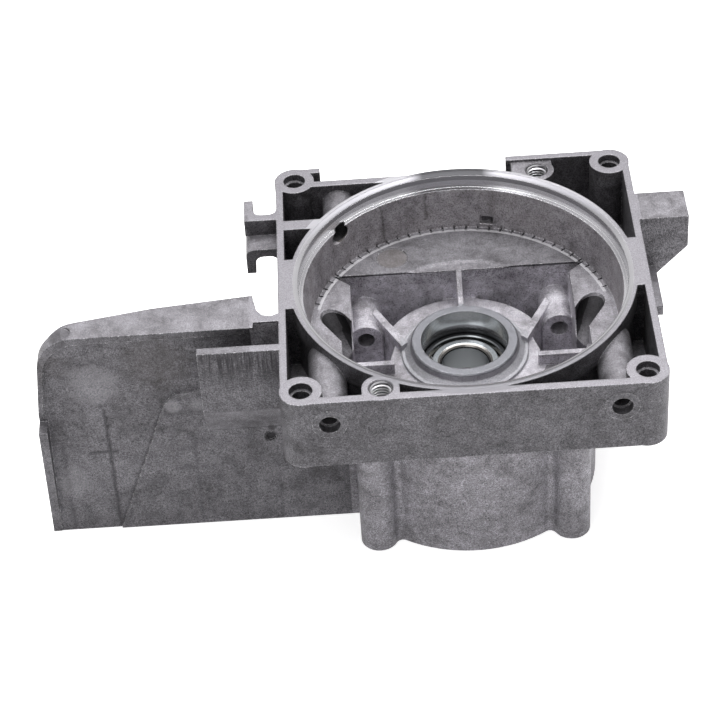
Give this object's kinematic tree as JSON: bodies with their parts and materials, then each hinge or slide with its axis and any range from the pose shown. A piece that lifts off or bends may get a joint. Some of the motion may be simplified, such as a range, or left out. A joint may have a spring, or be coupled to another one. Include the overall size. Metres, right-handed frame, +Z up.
{
  "type": "crankcase half",
  "caption": "Die-cast crankcase half with a motor pot in a square flange, a gear drum below, a long side guard plate, cable hooks and a shaft bearing in its hub.",
  "frame": {"origin": "on the axis of the motor pot, at the machined top face of the pot rim and the flange", "axes": "+Z up out of the open pot, +X to the right of the square flange away from the long guard plate, -Y is the front wall with the two cross holes"},
  "size_m": [0.1957, 0.108, 0.0745],
  "materials": {
    "cast_aluminium": "as-cast, matt, slightly mottled; top faces, register and seat machined bright",
    "bearing_steel": "ground",
    "ball_steel": "polished",
    "cage_steel": "pressed sheet"
  },
  "bodies": {
    "housing": {"housing": "cast_aluminium", "bearing_outer_ring": "bearing_steel"},
    "shaft_ring": {"bearing_inner_ring": "bearing_steel"},
    "ball_set": {"bearing_cage": "cage_steel", "bearing_ball_01": "ball_steel", "bearing_ball_02": "ball_steel", "bearing_ball_03": "ball_steel", "bearing_ball_04": "ball_steel", "bearing_ball_05": "ball_steel", "bearing_ball_06": "ball_steel", "bearing_ball_07": "ball_steel", "bearing_ball_08": "ball_steel", "bearing_ball_09": "ball_steel", "bearing_ball_10": "ball_steel", "bearing_ball_11": "ball_steel", "bearing_ball_12": "ball_steel", "bearing_ball_13": "ball_steel", "bearing_ball_14": "ball_steel", "bearing_ball_15": "ball_steel"}
  },
  "joints": [
    {"name": "shaft_spin", "type": "hinge", "parent": "housing", "child": "shaft_ring", "pos_m": [0, 0, -0.0382], "axis": [0, 0, 1], "continuous": true},
    {"name": "cage_spin", "type": "hinge", "parent": "housing", "child": "ball_set", "pos_m": [0, 0, -0.0382], "axis": [0, 0, 1], "continuous": true}
  ],
  "couplings": [
    {"joint": "cage_spin", "follows": "shaft_spin", "ratio": 0.4449}
  ]
}
